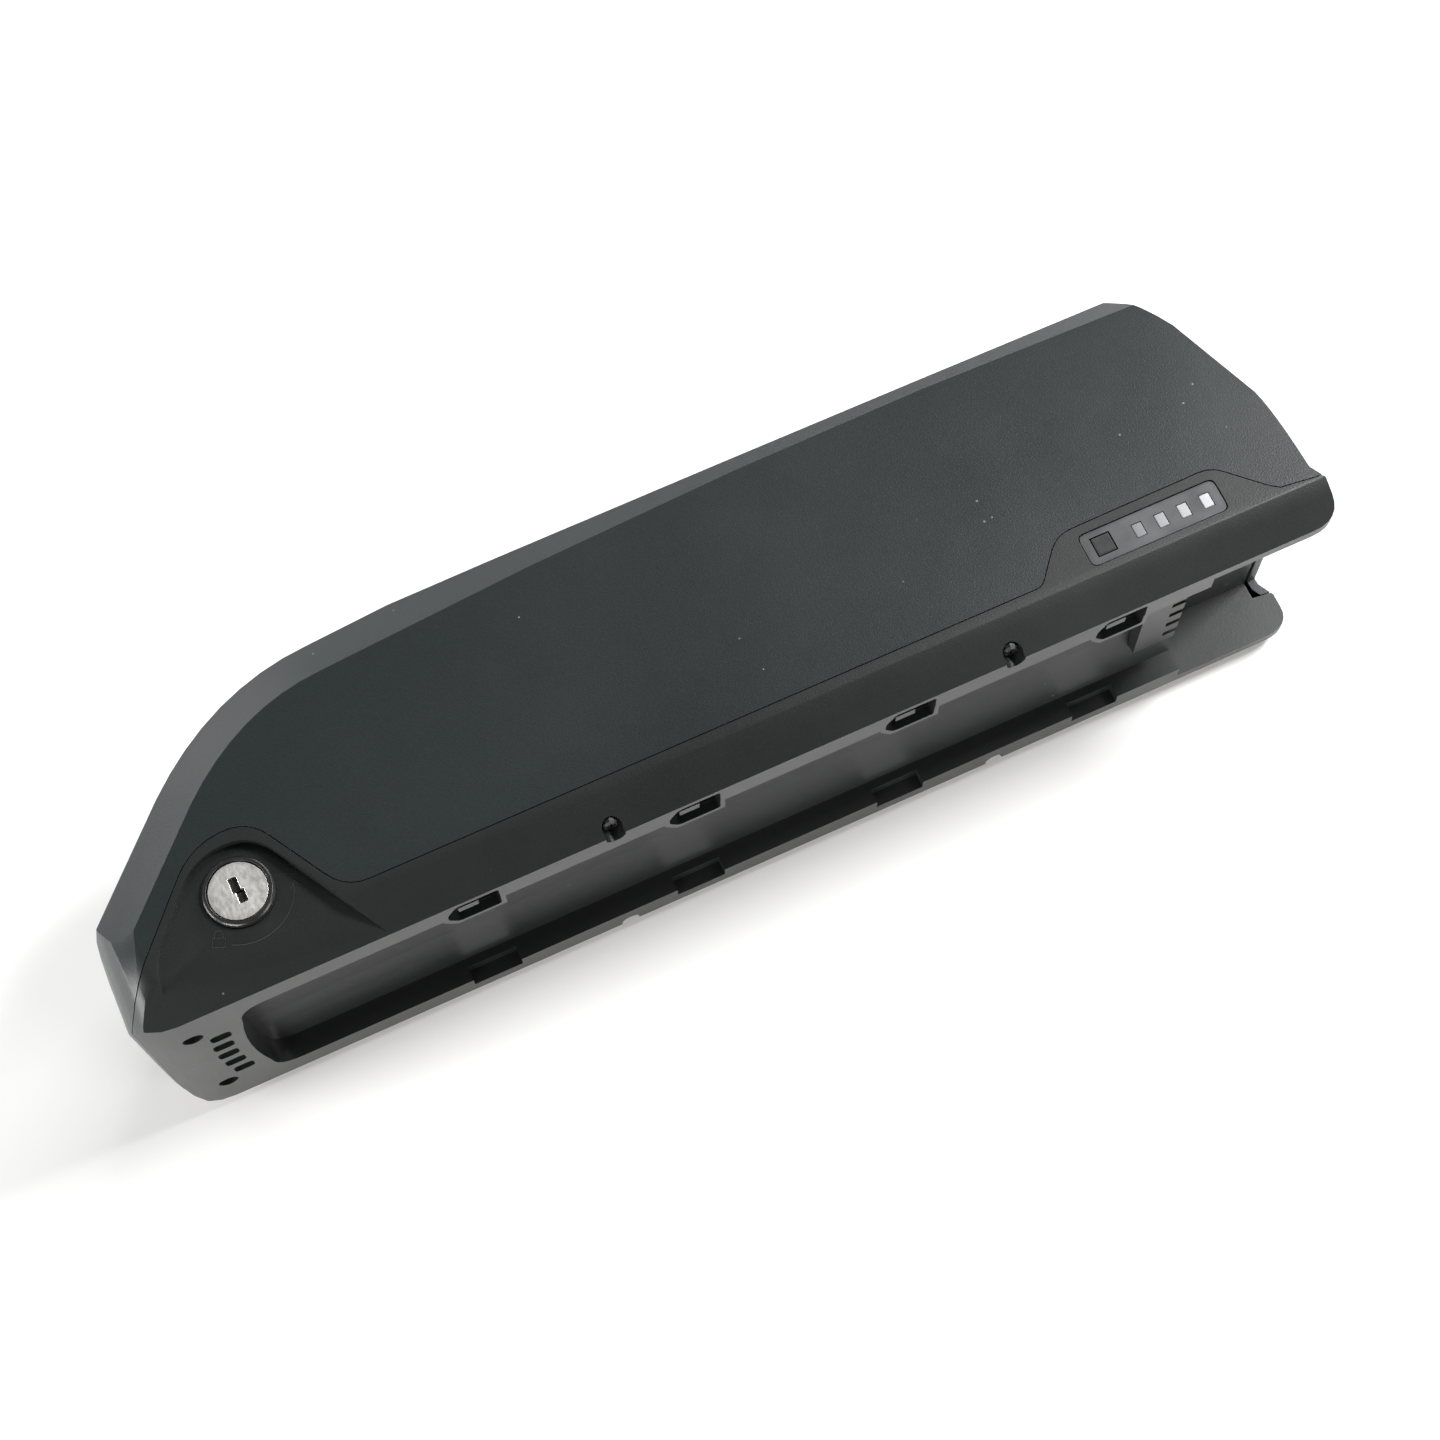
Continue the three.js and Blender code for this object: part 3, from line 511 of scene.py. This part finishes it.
def keyway_painted_shade():
    """Near-black strips of painted shade that fill the keyway a little below the lock's face."""
    top = plug_high[2]
    lines = [
        ([(lock_x - 0.3 * MM, lock_y - 0.2 * MM), (lock_x - 0.3 * MM, lock_y + 4.1 * MM)],
         KEYWAY_SHADE_WIDTH, False),
        ([(lock_x + 0.5 * MM, lock_y - 3.5 * MM), (lock_x + 0.5 * MM, lock_y + 0.2 * MM)],
         KEYWAY_SHADE_WIDTH, False),
    ]
    ribbon("keyway_painted_shade", lines,
           lambda x, y: top - 6 * MM, lambda x, y: top - 1.3 * MM,
           "lock", keyway_shade_black)


mark_finish = grained_plastic("mark_plastic", (0.020, 0.023, 0.023), 0.5, dust=0.1)
symbol_grey = smooth_plastic("symbol_grey", (0.055, 0.055, 0.058), 0.45)
# Near-black finish for the keyway's painted shade.
keyway_shade_black = smooth_plastic("keyway_shade_black", (0.006, 0.006, 0.006), 0.5)
lock_marks()
power_symbol()
keyway_painted_shade()

first_low, first_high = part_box("indicator_led_1")
last_low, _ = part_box(f"indicator_led_{LIGHT_COUNT}")
lights = rows_of_blocks(
    "light_windows", LIGHT_COUNT,
    tuple((a + b) / 2 for a, b in zip(first_low, first_high)),
    ((last_low[0] - first_low[0]) / (LIGHT_COUNT - 1), 0, 0),
    tuple(b - a for a, b in zip(first_low, first_high)), LIGHT_ROUNDING,
    "case", light_window,
)
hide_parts(*(f"indicator_led_{k + 1}" for k in range(LIGHT_COUNT)))


# ---- floor, light and camera -----------------------------------------------------------
def pale_floor():
    bpy.ops.mesh.primitive_plane_add(size=30, location=(0, 0, -0.0003))
    floor = bpy.context.object
    floor.name = "floor"
    finish = Finish("floor_white", roughness=0.95)
    finish.colour(finish.mix(finish.noise(3, 3), (0.88, 0.88, 0.88), (0.90, 0.90, 0.90)))
    dress(floor, finish.material)


def panel_light(name, place, aim, size, power, colour=(1, 1, 1)):
    data = bpy.data.lights.new(name, "AREA")
    data.shape = "RECTANGLE"
    data.size, data.size_y = size
    data.energy = power
    data.color = colour
    lamp = bpy.data.objects.new(name, data)
    bpy.context.scene.collection.objects.link(lamp)
    lamp.location = place
    lamp.rotation_euler = (Vector(aim) - Vector(place)).to_track_quat("-Z", "Y").to_euler()
    return lamp


def studio():
    bpy.context.scene.view_settings.view_transform = "Standard"
    world = bpy.data.worlds.new("studio")
    bpy.context.scene.world = world
    world.use_nodes = True
    back = world.node_tree.nodes["Background"]
    back.inputs[0].default_value = (1, 1, 1, 1)
    back.inputs[1].default_value = 0.12
    centre = (0, 0, 0.03)
    panel_light("front_left", (-1.5, -1.5, 0.5), centre, (1.2, 0.4), 44, (1, 0.985, 0.96))
    panel_light("front_right", (1.5, -1.7, 0.45), centre, (1.2, 0.4), 34, (1, 0.985, 0.96))
    panel_light("left", (-2.1, 0.25, 0.5), centre, (1.2, 0.4), 46)
    panel_light("back", (-0.9, 1.9, 0.55), centre, (1.2, 0.4), 10)
    panel_light("back_right", (1.6, 1.6, 0.6), centre, (1.2, 0.5), 66)
    panel_light("overhead", (0.0, 0.8, 1.4), (0, 0, 0.09), (1.2, 0.4), 0.9, (0.92, 1, 1))
    panel_light("bay_sheen", (0.92, 0.06, 1.12), (0.15, 0, 0.09), (0.35, 0.35), 20)


def camera():
    data = bpy.data.cameras.new("camera")
    data.sensor_width = 36
    data.lens = 64.43
    data.clip_start, data.clip_end = 0.01, 100
    cam = bpy.data.objects.new("camera", data)
    bpy.context.scene.collection.objects.link(cam)
    right = Vector((0.90978, -0.41463, -0.01967))
    up = Vector((0.39369, 0.84688, 0.3575))
    back = Vector((-0.13157, -0.33299, 0.93371))
    turn = Matrix((right, up, back)).transposed()
    cam.matrix_world = Matrix.Translation((-0.09397, -0.26383, 0.7458)) @ turn.to_4x4()
    bpy.context.scene.camera = cam


pale_floor()
studio()
camera()
